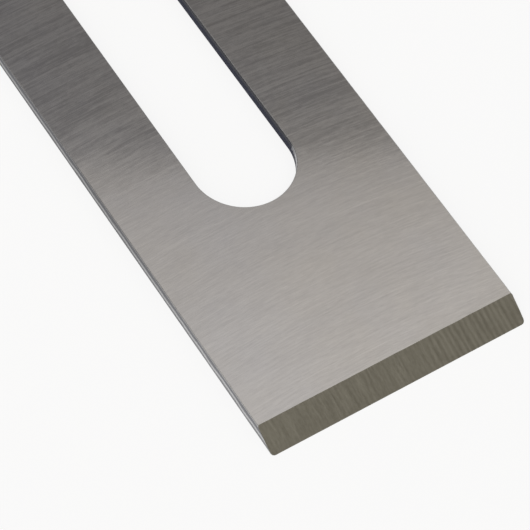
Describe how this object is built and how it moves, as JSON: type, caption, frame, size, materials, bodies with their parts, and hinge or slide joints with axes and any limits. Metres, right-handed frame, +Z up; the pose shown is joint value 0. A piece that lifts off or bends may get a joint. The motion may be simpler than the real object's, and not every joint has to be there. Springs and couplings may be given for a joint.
{
  "type": "plane iron",
  "caption": "Flat ground-steel blade for a hand plane, with a single bevel, a long wide slot with round ends and an arched top end.",
  "frame": {"origin": "on the flat back, in the middle of the blade's width and length", "axes": "+Y from the cutting edge towards the arched top end, +Z up from the flat back to the bevelled face, +X across the blade"},
  "size_m": [0.0412, 0.152, 0.0023],
  "materials": {
    "ground_steel": "satin ground across the width, with a darker ground bevel and bright ground sides"
  },
  "bodies": {
    "root": {"plane_iron": "ground_steel"}
  },
  "joints": []
}
